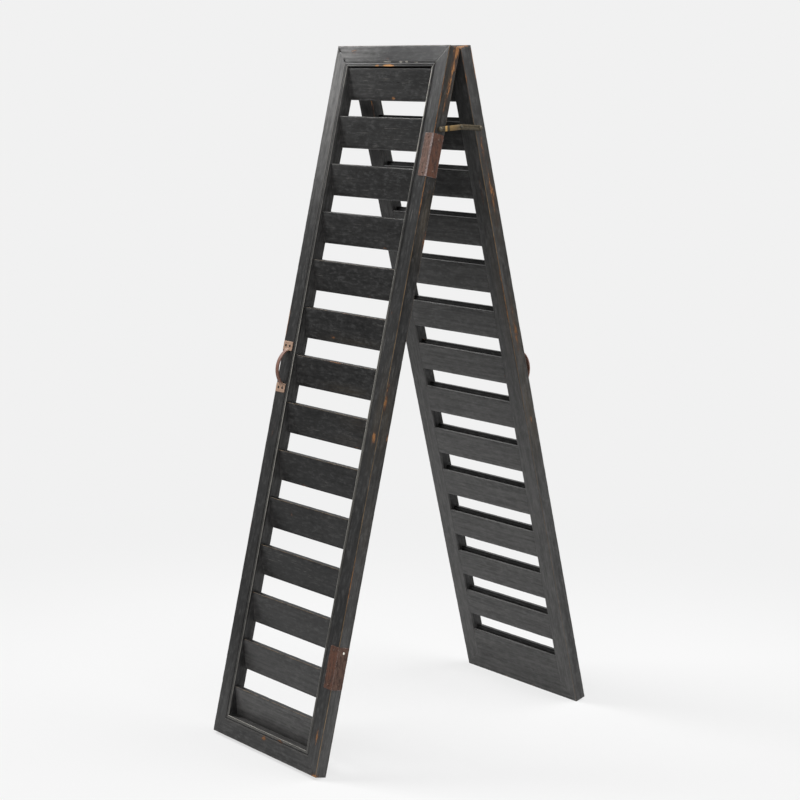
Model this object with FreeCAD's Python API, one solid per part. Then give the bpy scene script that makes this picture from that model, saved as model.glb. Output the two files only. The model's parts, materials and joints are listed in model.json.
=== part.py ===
import FreeCAD, Part
import math
import os

# Folding display stand: two louvred wooden panels hinged together at the top.
# Millimetres, +Z up, X along the hinge. The origin is on the floor, midway
# between the two panels. The front panel leans back from -Y, the rear panel is
# the same panel turned half a turn about the vertical through the origin.

os.makedirs("parts", exist_ok=True)

# Panel
panel_height = 1812.0
panel_width = 440.0
panel_thickness = 34.0
lean_angle = 13.8
closed_gap = 0.8

# Frame member and the bead run along its inner front edge
member_width = 53.0
edge_round = 1.2
groove_width = 3.0
groove_depth = 3.5
bead_radius = 2.25
quirk_width = 1.0
lip_width = 2.0
lip_drop = 0.4
lip_round = 0.8

# Slats and the flat boards behind them
slat_count = 14
slat_thickness = 13.0
slat_recess = 5.0
slat_rise = 77.0
slat_housing = 6.0
top_slat_gap = 0.3
board_thickness = 6.0
board_height = 73.5

# Butt hinges at the top
hinge_spacing = 260.0
leaf_length = 64.0
leaf_drop = 26.0
leaf_thickness = 2.0
barrel_radius = 4.5
barrel_clearance = 0.5
knuckle_count = 5
knuckle_gap = 0.4
pin_radius = 1.8
pin_head_radius = 3.0
pin_head_length = 1.5
running_clearance = 0.06
hinge_screw_drop = 16.0
hinge_screw_shares = (-0.34, 0.0, 0.34)

# Countersunk slotted screw
screw_head_radius = 3.4
screw_shank_radius = 1.7
screw_length = 18.0
screw_slot_width = 0.8
screw_slot_depth = 0.7

# Bow handle
handle_height = 968.5
handle_length = 134.0
handle_plate_width = 38.0
handle_plate_height = 24.0
handle_plate_thickness = 2.0
handle_bow = 23.0
handle_strap_width = 12.0
handle_strap_thickness = 4.0
handle_strap_round = 1.4
handle_screw_spacing = 16.5

# Angle plates on the outer corner of one stile
plate_length = 106.0
plate_thickness = 1.6
plate_face_leaf = 30.0
plate_side_leaf = 32.0
lower_plate_height = 218.0
upper_plate_drop = 216.0
nail_head_radius = 3.0
nail_head_height = 1.2
nail_shank_radius = 1.2
nail_length = 15.0
face_nail_inset = 9.0
side_nail_inset = 14.0

# Folding stay: two flat links on each side of the stand
stay_drop = 203.5
stay_centre_rise = 4.0
link_width = 13.0
link_thickness = 2.0
link_side_gap = 0.5
link_plane_gap = 0.4
joggle_start = 26.0
joggle_run = 4.0
pivot_shank_radius = 2.4
pivot_head_radius = 5.2
pivot_head_height = 2.6
pivot_head_gap = 0.35
pivot_depth = 20.0
rivet_radius = 2.5
rivet_head_radius = 4.5
rivet_head_height = 2.2

# One overrun serves every cut
overrun = 2.0

# Sizes worked out from those above
half_gap = closed_gap / 2
half_width = panel_width / 2
flat_width = member_width - lip_width - quirk_width - 2 * bead_radius - groove_width
opening_width = panel_width - 2 * member_width
foot_depth = panel_thickness - board_thickness
slat_lean = math.atan2(foot_depth - slat_recess, slat_rise)
rung_height = slat_rise + slat_thickness * math.sin(slat_lean)
slat_pitch = (panel_height - 2 * member_width - top_slat_gap - rung_height) / (slat_count - 1)
lean = math.radians(lean_angle)
hinge_height = ((panel_height - edge_round) * math.cos(lean)
                - (half_gap + edge_round) * math.sin(lean) + edge_round)
hinge_axis = FreeCAD.Vector(0, 0, hinge_height)
along_x = FreeCAD.Vector(1, 0, 0)
along_z = FreeCAD.Vector(0, 0, 1)
turn = 360
half_turn = turn / 2
quarter_turn = half_turn / 2


def at(x, depth, rise):
    """A point of one panel: depth behind its outer face, rise above its foot."""
    return FreeCAD.Vector(x, depth - panel_thickness - half_gap, rise - panel_height)


def lean_front(shape):
    """Stands an upright panel piece at the front, leaning on the hinge line."""
    placed = shape.copy()
    placed.rotate(FreeCAD.Vector(), along_x, -lean_angle)
    placed.translate(hinge_axis)
    return placed


def half_turned(shape):
    """The same piece on the other side of the stand."""
    placed = shape.copy()
    placed.rotate(FreeCAD.Vector(), along_z, half_turn)
    return placed


def lean_rear(shape):
    return half_turned(lean_front(shape))


def save(name, solids):
    """Writes one node: a single solid, or a group of like solids."""
    shape = solids[0] if len(solids) == 1 else Part.Compound(solids)
    shape.exportStep("parts/" + name + ".step")


def box(low, high):
    size = high - low
    return Part.makeBox(size.x, size.y, size.z, low)


def prism(points, sweep):
    """A straight prism on a closed outline."""
    return Part.Face(Part.makePolygon(points + points[:1])).extrude(sweep)


def solid_of(shape):
    """The one solid of a cut or fused shape, with its split faces joined."""
    return shape.removeSplitter().Solids[0]


# Frame members

def member_outline(place):
    """The moulded section, from its outer edge inwards, set down by place(across, depth)."""
    groove_end = flat_width + groove_width
    bead_top = groove_end + bead_radius
    bead_end = bead_top + bead_radius
    quirk_end = bead_end + quirk_width
    bend = edge_round * (1 - math.sqrt(1 / 2))
    lip_bend = lip_round * (1 - math.sqrt(1 / 2))
    back = panel_thickness

    def line(start, end):
        return Part.LineSegment(place(*start), place(*end)).toShape()

    def arc(start, middle, end):
        return Part.Arc(place(*start), place(*middle), place(*end)).toShape()

    return Part.Wire([
        line((edge_round, 0), (flat_width, 0)),
        line((flat_width, 0), (flat_width, groove_depth)),
        line((flat_width, groove_depth), (groove_end, groove_depth)),
        line((groove_end, groove_depth), (groove_end, bead_radius)),
        arc((groove_end, bead_radius), (bead_top, 0), (bead_end, bead_radius)),
        line((bead_end, bead_radius), (quirk_end, bead_radius)),
        line((quirk_end, bead_radius), (quirk_end, lip_drop)),
        line((quirk_end, lip_drop), (member_width - lip_round, lip_drop)),
        arc((member_width - lip_round, lip_drop), (member_width - lip_bend, lip_drop + lip_bend),
            (member_width, lip_drop + lip_round)),
        line((member_width, lip_drop + lip_round), (member_width, back)),
        line((member_width, back), (edge_round, back)),
        arc((edge_round, back), (bend, back - bend), (0, back - edge_round)),
        line((0, back - edge_round), (0, edge_round)),
        arc((0, edge_round), (bend, bend), (edge_round, 0)),
    ])


def mitre_block(place, length):
    """The space of one member between its two mitres; place(across, depth, along)."""
    out = -overrun
    far = member_width + overrun
    corners = [(out, out), (far, far), (far, length - far), (out, length + overrun)]
    return prism([place(across, -overrun, along) for across, along in corners],
                 FreeCAD.Vector(0, panel_thickness + 2 * overrun, 0))


def member(place, length):
    """One mitred frame member of the given length."""
    outline = member_outline(lambda across, depth: place(across, depth, 0))
    sweep = place(0, 0, length) - place(0, 0, 0)
    return Part.Face(outline).extrude(sweep).common(mitre_block(place, length))


def stile(side):
    """side is -1 for the stile at -X and 1 for the one at +X."""
    return member(lambda across, depth, along: at(side * (half_width - across), depth, along),
                  panel_height)


def bottom_rail():
    return member(lambda across, depth, along: at(along - half_width, depth, across), panel_width)


def top_rail():
    return member(lambda across, depth, along: at(along - half_width, depth,
                                                  panel_height - across), panel_width)


# Slats and boards

def slat_foot(number):
    """The height of a slat's foot; number 1 is at the top."""
    return member_width + (slat_count - number) * slat_pitch


def slat(number):
    """An inclined slat, its head square and its foot bevelled to the board behind it."""
    foot = slat_foot(number)
    half_length = opening_width / 2 + slat_housing
    head_depth = slat_recess + slat_thickness * math.cos(slat_lean)
    bevel_top = slat_thickness / math.sin(slat_lean)
    section = [(foot_depth, 0), (slat_recess, slat_rise), (head_depth, rung_height),
               (foot_depth, bevel_top)]
    return prism([at(-half_length, depth, foot + rise) for depth, rise in section],
                 along_x * (2 * half_length))


def board(number):
    """A flat board between the stiles, flush with their inner faces."""
    foot = slat_foot(number)
    return box(at(-opening_width / 2, foot_depth, foot),
               at(opening_width / 2, panel_thickness, foot + board_height))


# Fasteners, each built along +Z from the surface that it enters

def countersunk_screw(slotted):
    head = Part.makeCone(screw_head_radius, screw_shank_radius, leaf_thickness)
    shank = Part.makeCylinder(screw_shank_radius, screw_length)
    screw = solid_of(head.fuse(shank))
    if slotted:
        slot = box(FreeCAD.Vector(-screw_slot_width / 2, -screw_head_radius, -overrun),
                   FreeCAD.Vector(screw_slot_width / 2, screw_head_radius, screw_slot_depth))
        screw = solid_of(screw.cut(slot))
    return screw


def domed_head(radius, height):
    """A low dome whose flat side is on the XY plane, crown towards -Z."""
    ball_radius = (radius ** 2 + height ** 2) / (2 * height)
    ball = Part.makeSphere(ball_radius, FreeCAD.Vector(0, 0, ball_radius - height))
    return ball.common(Part.makeCylinder(ball_radius, height, FreeCAD.Vector(0, 0, -height)))


def plate_nail():
    head = domed_head(nail_head_radius, nail_head_height)
    return solid_of(head.fuse(Part.makeCylinder(nail_shank_radius, nail_length)))


def pivot_screw(slotted):
    """The round-headed screw that a stay link turns on."""
    seat = link_side_gap + link_thickness + pivot_head_gap
    head = domed_head(pivot_head_radius, pivot_head_height)
    screw = solid_of(head.fuse(Part.makeCylinder(pivot_shank_radius, seat + pivot_depth)))
    if slotted:
        slot = box(FreeCAD.Vector(-screw_slot_width / 2, -pivot_head_radius,
                                  -pivot_head_height - overrun),
                   FreeCAD.Vector(screw_slot_width / 2, pivot_head_radius,
                                  screw_slot_depth - pivot_head_height))
        screw = solid_of(screw.cut(slot))
    screw.translate(FreeCAD.Vector(0, 0, -seat))
    return screw


def driven(fastener, surface_point, turn_axis, angle):
    """Turns a fastener to its direction and sets it down on the surface."""
    placed = fastener.copy()
    placed.rotate(FreeCAD.Vector(), turn_axis, angle)
    placed.translate(surface_point)
    return placed


def into_face(fastener, point):
    """Driven through the outer face, towards the inner face."""
    return driven(fastener, point, along_x, -quarter_turn)


def into_back(fastener, point):
    """Driven through the inner face, towards the outer face."""
    return driven(fastener, point, along_x, quarter_turn)


def into_side(fastener, point):
    """Driven through the side face at +X."""
    return driven(fastener, point, FreeCAD.Vector(0, 1, 0), -quarter_turn)


# Hinges

def hinge_places():
    return (-hinge_spacing / 2, hinge_spacing / 2)


def knuckle_span(centre, index):
    """The two ends of one knuckle along X."""
    step = leaf_length / knuckle_count
    start = centre - leaf_length / 2 + index * step
    low = start if index == 0 else start + knuckle_gap / 2
    high = start + step if index == knuckle_count - 1 else start + step - knuckle_gap / 2
    return low, high


def on_axis(radius, low, high):
    """A cylinder on the hinge axis from one X to another."""
    return Part.makeCylinder(radius, high - low, FreeCAD.Vector(low, 0, 0), along_x)


def hinge_screw_points(centre):
    return [at(centre + share * leaf_length, panel_thickness, panel_height - hinge_screw_drop)
            for share in hinge_screw_shares]


def hinge_leaf(centre, first_knuckle, bore_radius):
    """A leaf let into the inner face, with every second knuckle."""
    inset = panel_thickness - leaf_thickness
    neck = panel_height - barrel_radius - barrel_clearance
    leaf = box(at(centre - leaf_length / 2, inset, panel_height - leaf_drop),
               at(centre + leaf_length / 2, panel_thickness, neck))
    bores = []
    for index in range(first_knuckle, knuckle_count, 2):
        low, high = knuckle_span(centre, index)
        leaf = leaf.fuse(box(at(low, inset, neck), at(high, panel_thickness, panel_height)))
        leaf = leaf.fuse(on_axis(barrel_radius, low, high))
        bores.append(on_axis(bore_radius, low - overrun, high + overrun))
    screws = [into_back(countersunk_screw(False), point) for point in hinge_screw_points(centre)]
    return solid_of(leaf.cut(bores + screws))


def hinge_pin(centre):
    low = centre - leaf_length / 2
    high = centre + leaf_length / 2
    pin = on_axis(pin_radius, low, high)
    pin = pin.fuse(on_axis(pin_head_radius, low - pin_head_length, low))
    return solid_of(pin.fuse(on_axis(pin_head_radius, high, high + pin_head_length)))


def hinge_screws():
    return [into_back(countersunk_screw(True), point)
            for centre in hinge_places() for point in hinge_screw_points(centre)]


def hinge_recesses():
    """What the two hinges take out of a top rail."""
    cutters = []
    reach = leaf_length / 2 + pin_head_length + barrel_clearance
    for centre in hinge_places():
        cutters.append(box(at(centre - leaf_length / 2, panel_thickness - leaf_thickness,
                              panel_height - leaf_drop),
                           at(centre + leaf_length / 2, panel_thickness + overrun,
                              panel_height + overrun)))
        cutters.append(on_axis(barrel_radius + barrel_clearance, centre - reach, centre + reach))
        cutters += [into_back(countersunk_screw(False), point)
                    for point in hinge_screw_points(centre)]
    return cutters


# Handle

def handle_centre():
    return flat_width / 2 - half_width


def handle_plate_places():
    """The middle height of each of the two plates."""
    reach = (handle_length - handle_plate_height) / 2
    return (handle_height - reach, handle_height + reach)


def handle_strap():
    """A strap bent to one arc between the inner edges of the plates."""
    chord = handle_length / 2 - handle_plate_height + handle_plate_thickness
    seat = handle_plate_thickness / 2
    sagitta = handle_bow - seat
    radius = (chord ** 2 + sagitta ** 2) / (2 * sagitta)
    centre = at(handle_centre() - handle_strap_width / 2, radius - handle_bow, handle_height)
    half_strap = handle_strap_thickness / 2
    ring = Part.makeCylinder(radius + half_strap, handle_strap_width, centre, along_x)
    ring = ring.cut(Part.makeCylinder(radius - half_strap, handle_strap_width, centre, along_x))
    long_edges = [edge for edge in ring.Edges if isinstance(edge.Curve, Part.Circle)]
    ring = ring.makeFillet(handle_strap_round, long_edges)
    reach = radius + handle_strap_thickness
    keep = box(at(handle_centre() - handle_strap_width, -handle_bow - handle_strap_thickness,
                  handle_height - reach),
               at(handle_centre() + handle_strap_width, -seat, handle_height + reach))
    return ring.common(keep)


def handle_screw_points():
    return [at(handle_centre() + side * handle_screw_spacing / 2, -handle_plate_thickness, height)
            for height in handle_plate_places() for side in (-1, 1)]


def handle():
    grip = handle_strap()
    half_width_across = handle_plate_width / 2
    half_height = handle_plate_height / 2
    for height in handle_plate_places():
        grip = grip.fuse(box(at(handle_centre() - half_width_across, -handle_plate_thickness,
                                height - half_height),
                             at(handle_centre() + half_width_across, 0, height + half_height)))
    holes = [into_face(countersunk_screw(False), point) for point in handle_screw_points()]
    return solid_of(grip.cut(holes))


# Angle plates

def plate_bottoms():
    return (panel_height - upper_plate_drop - plate_length, lower_plate_height)


def face_nail_points(bottom):
    x = half_width - plate_face_leaf / 2
    return [at(x, -plate_thickness, bottom + face_nail_inset),
            at(x, -plate_thickness, bottom + plate_length - face_nail_inset)]


def side_nail_points(bottom):
    x = half_width + plate_thickness
    depth = panel_thickness / 2
    return [at(x, depth, bottom + side_nail_inset),
            at(x, depth, bottom + plate_length - side_nail_inset)]


def plate_nails():
    nails = []
    for bottom in plate_bottoms():
        nails += [into_face(plate_nail(), point) for point in face_nail_points(bottom)]
        nails += [into_side(plate_nail(), point) for point in side_nail_points(bottom)]
    return nails


def angle_plate(bottom, nails):
    """Sheet bent round the outer corner of the stile at +X."""
    face_end = half_width - plate_face_leaf
    outside = half_width + plate_thickness
    bend = plate_thickness * (1 - math.sqrt(1 / 2))

    def line(start, end):
        return Part.LineSegment(at(*start, bottom), at(*end, bottom)).toShape()

    corner = Part.Arc(at(half_width, -plate_thickness, bottom),
                      at(outside - bend, bend - plate_thickness, bottom),
                      at(outside, 0, bottom)).toShape()
    outline = Part.Wire([
        line((face_end, -plate_thickness), (half_width, -plate_thickness)),
        corner,
        line((outside, 0), (outside, plate_side_leaf)),
        line((outside, plate_side_leaf), (half_width, plate_side_leaf)),
        line((half_width, plate_side_leaf), (half_width, 0)),
        line((half_width, 0), (face_end, 0)),
        line((face_end, 0), (face_end, -plate_thickness)),
    ])
    plate = Part.Face(outline).extrude(along_z * plate_length)
    return solid_of(plate.cut(nails))


# Folding stay, drawn on the side at +X

stay_depth = panel_thickness / 2
pivot_reach = (stay_drop * math.sin(lean)
               + (stay_depth + half_gap) * math.cos(lean))
pivot_height = (hinge_height - stay_drop * math.cos(lean)
                + (stay_depth + half_gap) * math.sin(lean))
link_length = math.hypot(pivot_reach, stay_centre_rise)
link_angle = math.degrees(math.atan2(stay_centre_rise, pivot_reach))
folded_angle = math.degrees(math.acos((stay_depth + half_gap) / link_length))
link_turn = folded_angle - link_angle - lean_angle
link_shift = link_thickness + link_plane_gap
stack_height = link_side_gap + link_shift + link_thickness + overrun


def bar_plan():
    """A bar with round ends along +X, as deep as both links together."""
    radius = link_width / 2
    plan = Part.makeBox(link_length, link_width, stack_height, FreeCAD.Vector(0, -radius, 0))
    for end in (0, link_length):
        plan = plan.fuse(Part.makeCylinder(radius, stack_height, FreeCAD.Vector(end, 0, 0)))
    return plan


def pierced(bar, centre_radius):
    """Cuts the pivot hole and the centre hole of a link."""
    pivot_hole = Part.makeCylinder(pivot_shank_radius + running_clearance, stack_height)
    centre_hole = Part.makeCylinder(centre_radius, stack_height,
                                    FreeCAD.Vector(link_length, 0, 0))
    return solid_of(bar.cut([pivot_hole, centre_hole]))


def link_from_profile(profile, centre_radius):
    """A link from its edge profile of (along, out) points."""
    points = [FreeCAD.Vector(along, -link_width / 2, out) for along, out in profile]
    bar = prism(points, FreeCAD.Vector(0, link_width, 0))
    return pierced(bar.common(bar_plan()), centre_radius)


def joggled_link():
    """The link that steps outwards over the other one."""
    low = link_side_gap
    high = low + link_thickness
    start = -link_width
    end = link_length + link_width
    bend_end = joggle_start + joggle_run
    profile = [(start, low), (joggle_start, low), (bend_end, low + link_shift),
               (end, low + link_shift), (end, high + link_shift),
               (bend_end, high + link_shift), (joggle_start, high), (start, high)]
    return link_from_profile(profile, rivet_radius)


def flat_link():
    low = link_side_gap
    high = low + link_thickness
    start = -link_width
    end = link_length + link_width
    profile = [(start, low), (end, low), (end, high), (start, high)]
    return link_from_profile(profile, rivet_radius + running_clearance)


def centre_rivet():
    """The rivet that closes the middle of the stay, held in the joggled link."""
    low = link_side_gap + link_shift
    high = low + link_thickness
    shank = Part.makeCylinder(rivet_radius, link_thickness, FreeCAD.Vector(link_length, 0, low))
    head = domed_head(rivet_head_radius, rivet_head_height)
    head.rotate(FreeCAD.Vector(), along_x, half_turn)
    head.translate(FreeCAD.Vector(link_length, 0, high))
    return solid_of(shank.fuse(head))


def on_right_side(shape, toward_rear):
    """Sets a link piece on the side at +X, at the front or the rear pivot."""
    placed = shape.copy()
    # The bar's length goes to +Y, its width to +Z and its thickness to +X.
    placed.rotate(FreeCAD.Vector(), FreeCAD.Vector(1, 1, 1), turn / 3)
    placed.rotate(FreeCAD.Vector(), along_x, link_angle)
    if not toward_rear:
        placed = placed.mirror(FreeCAD.Vector(), FreeCAD.Vector(0, 1, 0))
    start = -pivot_reach if toward_rear else pivot_reach
    placed.translate(FreeCAD.Vector(half_width, start, pivot_height))
    return placed


def pivot_points():
    """Where the stay pivots enter the two side faces of the front panel."""
    rise = panel_height - stay_drop
    return [at(side * half_width, stay_depth, rise) for side in (-1, 1)]


def pivot_screws(slotted):
    left, right = pivot_points()
    screw = pivot_screw(slotted)
    return [driven(screw, left, FreeCAD.Vector(0, 1, 0), quarter_turn), into_side(screw, right)]


# Build one upright panel, then set it down twice

nails = plate_nails()
plain_pivots = pivot_screws(False)
handle_screw_cutters = [into_face(countersunk_screw(False), point)
                        for point in handle_screw_points()]
numbers = range(1, slat_count + 1)
slats = [slat(number) for number in numbers]
boards = [board(number) for number in numbers]
stile_left = solid_of(stile(-1).cut(slats + plain_pivots + handle_screw_cutters))
stile_right = solid_of(stile(1).cut(slats + plain_pivots + nails))
rail_bottom = solid_of(bottom_rail())
rail_top = solid_of(top_rail().cut(hinge_recesses()))
panel_handle = handle()
plates = [angle_plate(bottom, nails) for bottom in plate_bottoms()]
handle_screws = [into_face(countersunk_screw(True), point) for point in handle_screw_points()]
slotted_pivots = pivot_screws(True)

for name, lean_panel, side_names in (("front", lean_front, ("left", "right")),
                                     ("rear", lean_rear, ("right", "left"))):
    # The half turn brings each side of the rear panel to the other side.
    save(name + "_stile_" + side_names[0], [lean_panel(stile_left)])
    save(name + "_stile_" + side_names[1], [lean_panel(stile_right)])
    save(name + "_rail_bottom", [lean_panel(rail_bottom)])
    save(name + "_rail_top", [lean_panel(rail_top)])
    for number, shape in zip(numbers, slats):
        save(name + "_slat_" + str(number).zfill(2), [lean_panel(shape)])
    save(name + "_boards", [lean_panel(shape) for shape in boards])
    save(name + "_handle", [lean_panel(panel_handle)])
    save(name + "_handle_screws", [lean_panel(shape) for shape in handle_screws])
    save(name + "_angle_plates", [lean_panel(shape) for shape in plates])
    save(name + "_angle_plate_nails", [lean_panel(shape) for shape in nails])
    save(name + "_stay_screws", [lean_panel(shape) for shape in slotted_pivots])
    save(name + "_hinge_screws", [lean_panel(shape) for shape in hinge_screws()])

save("front_hinge_leaves",
     [lean_front(hinge_leaf(centre, 0, pin_radius)) for centre in hinge_places()])
save("rear_hinge_leaves",
     [lean_rear(hinge_leaf(centre, 1, pin_radius + running_clearance))
      for centre in hinge_places()])
save("hinge_pins", [lean_front(hinge_pin(centre)) for centre in hinge_places()])

front_link = on_right_side(joggled_link(), True)
rear_link = on_right_side(flat_link(), False)
rivet = on_right_side(centre_rivet(), True)
save("stay_front_link_right", [front_link])
save("stay_rear_link_right", [rear_link])
save("stay_rivet_right", [rivet])
save("stay_rear_link_left", [half_turned(front_link)])
save("stay_front_link_left", [half_turned(rear_link)])
save("stay_rivet_left", [half_turned(rivet)])

print("hinge height", round(hinge_height, 4), "fold range", 2 * lean_angle)
print("slat pitch", round(slat_pitch, 4), "slat lean", round(math.degrees(slat_lean), 3))
print("stay pivot y", round(pivot_reach, 4), "z", round(pivot_height, 4))
print("link length", round(link_length, 4), "rest angle", round(link_angle, 4),
      "turn against its panel", round(link_turn, 4))
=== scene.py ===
import json
import math
from functools import partial

import bmesh
import bpy
import numpy as np
from mathutils import Matrix, Vector, noise


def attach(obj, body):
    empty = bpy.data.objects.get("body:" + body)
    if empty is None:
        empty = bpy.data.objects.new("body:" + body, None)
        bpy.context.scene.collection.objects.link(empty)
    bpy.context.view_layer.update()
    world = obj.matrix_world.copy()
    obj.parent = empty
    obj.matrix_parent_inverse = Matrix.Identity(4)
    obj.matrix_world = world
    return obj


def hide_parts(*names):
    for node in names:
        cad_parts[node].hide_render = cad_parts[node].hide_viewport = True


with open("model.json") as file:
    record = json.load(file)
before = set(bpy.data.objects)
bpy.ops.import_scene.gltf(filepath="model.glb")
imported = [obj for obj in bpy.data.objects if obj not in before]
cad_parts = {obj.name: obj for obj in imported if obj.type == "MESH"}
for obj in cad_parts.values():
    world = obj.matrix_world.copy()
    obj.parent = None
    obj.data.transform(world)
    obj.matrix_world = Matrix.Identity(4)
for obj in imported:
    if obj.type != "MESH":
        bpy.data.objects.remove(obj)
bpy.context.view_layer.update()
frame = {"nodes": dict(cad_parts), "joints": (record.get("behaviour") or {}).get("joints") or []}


# How the two panels stand
# The stand is two equal louvred panels hung on one hinge line. A place on a panel is
# across it, in depth behind its outer face and in rise above its foot, in millimetres,
# and the fold joint says how far the panels lean. The rear one is the front half turned.

mm = 0.001
fold = next(joint for joint in frame["joints"] if joint["name"] == "fold")
lean = math.radians(fold["range_deg"][1] / 2)
hinge_height = fold["pos_m"][2] / mm
panel_height = 1812.0
panel_width = 440.0
panel_thickness = 34.0
half_gap = 0.4
half_width = panel_width / 2
half_turn = {"front": 1, "rear": -1}


def stood(places, side):
    """Rows of (across, depth, rise) on a panel, as points of the open stand in metres."""
    across, depth, rise = np.asarray(places, float).reshape(-1, 3).T
    out = depth - panel_thickness - half_gap
    up = rise - panel_height
    y = out * math.cos(lean) + up * math.sin(lean)
    z = up * math.cos(lean) - out * math.sin(lean) + hinge_height
    return np.column_stack((half_turn[side] * across, half_turn[side] * y, z)) * mm


def places_of(piece, side):
    """A piece's points as across, depth and rise on its panel."""
    points = np.zeros(len(piece.data.vertices) * 3, np.float32)
    piece.data.vertices.foreach_get("co", points)
    x, y, z = (np.asarray(points, float).reshape(-1, 3) / mm).T
    y = half_turn[side] * y
    z = z - hinge_height
    out = y * math.cos(lean) - z * math.sin(lean)
    up = y * math.sin(lean) + z * math.cos(lean)
    return half_turn[side] * x, out + panel_thickness + half_gap, up + panel_height


# Stiles and rails
# Each panel's frame is four lengths of softwood, 53 by 34 mm, with a bead and a groove run
# along the inner front edge by a moulding plane. They are mitred and glued at the corners.
# Long handling has rounded their arrises, chipped them and rubbed the paint off them.

member_width = 53.0
edge_round = 1.2
groove_start = 42.5
groove_end = 45.5
bead_radius = 2.25
bead_stop = 329
quirk_floor = 1.0
quirk_end = 51.0
lip_drop = 0.4
lip_round = 0.7
near_arris = 0.7
small_round = 0.4
back_round = 0.6
station_step = 5.0
mitre_gap = 0.03
mitre_shrink = 0.004
mitre_ease = 0.4


def arc(across, depth, radius, start, end, count):
    """Points on an arc of the moulded section, from one angle in degrees to another."""
    angles = np.radians(np.linspace(start, end, count))
    return [(across + radius * math.cos(a), depth + radius * math.sin(a)) for a in angles]


def straight(start, end, count):
    """Points between two others, both left out."""
    shares = np.linspace(0, 1, count + 2)[1:-1]
    return [(start[0] + (end[0] - start[0]) * s, start[1] + (end[1] - start[1]) * s)
            for s in shares]


# How the moulding has fared, for the stiles at the left and right and the rails: how deep the
# groove still is under paint and wax, how far the mitre at the far end has opened and how pale
# it is rubbed. The curves along each member say how pale the inner arris, the groove's corner
# and the bead are, and how black the groove and the bead's own hollows are painted, for dirt and
# as painted shade where shade falls in them, with painted shade over the top rail's right half
# where its sheen is too bright. A curve is its places along the member and its values there,
# and what is left out is nothing.
mouldings = {
    "left": {
        "floor": 1.2, "opened": 6.0,
        "arris": ((250, 450, 620, 1030, 1120, 1250, 1450, 1550, 1640, 1720, 1770),
                  (0.35, 0.5, 0.65, 0.8, 0.5, 0.35, 0.25, 0.32, 0.15, 0.15, 0.5)),
        "corner": ((1200, 1400, 1520, 1720), (0.02, 0.08, 0.18, 0.2)),
        "bead": ((0, 100, 200, 400, 1100, 1250, 1400), (0.08, 0.08, 0.03, 0.08, 0.08, 0.05, 0)),
        "groove": ((1300, 1500), (0.25, 0)), "hollow": ((1400, 1520), (0, 0.5))},
    "right": {
        "floor": 2.4, "pale_end": 0.22,
        "arris": ((0, 300, 900, 1100, 1300, 1400, 1500, 1560, 1600, 1720),
                  (0.3, 0.5, 0.85, 0.7, 0.45, 0.4, 0.4, 0.8, 1.1, 1.6)),
        "bead": ((0, 100, 200, 400, 600, 800, 1000, 1200, 1400),
                 (0.12, 0.12, 0.06, 0.09, 0.15, 0.24, 0.2, 0.14, 0.03)),
        "groove": ((1150, 1350, 1450, 1560, 1812), (0, 0.75, 0.9, 0.9, 0.7)),
        "hollow": ((1300, 1500), (0, 0.3))},
    "bottom": {
        "floor": 2.2, "arris": ((0, 440), (0.7, 0.6)), "corner": ((0,), (0.12,)),
        "bead": ((0,), (0.1,)), "groove": ((0,), (0.3,)), "hollow": ((0,), (0.1,))},
    "top": {
        "floor": 1.3, "pale_end": 0.22, "arris": ((0, 440), (0.1, 0.0)),
        "groove": ((0,), (0.3,)), "hollow": ((0, 250, 330, 440), (0.25, 0.35, 0.9, 0.9))}}

# How tan the outer arrises of the stiles are up their length, at the face and at the back.
plain_arris = ((0,), (0.1,))
tan_arrises = {
    "front_stile_left": (((440, 560, 700, 880, 1080, 1300), (0.1, 0.35, 0.1, 0.2, 0.3, 0.05)),
                         plain_arris),
    "front_stile_right": (((30, 350, 450, 650, 1000, 1400, 1440), (0.5, 0.4, 0.5, 0.4, 0.5, 0.25, 0.4)),
                          ((500, 700, 1250, 1350), (0.4, 0.3, 0.3, 0.5))),
    "rear_stile_right": (((900, 1100, 1400, 1700), (0.1, 0.35, 0.25, 0.4)),
                         ((700, 1000, 1100, 1300, 1500, 1700), (0.2, 0.45, 0.9, 0.85, 0.6, 0.2)))}


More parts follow.
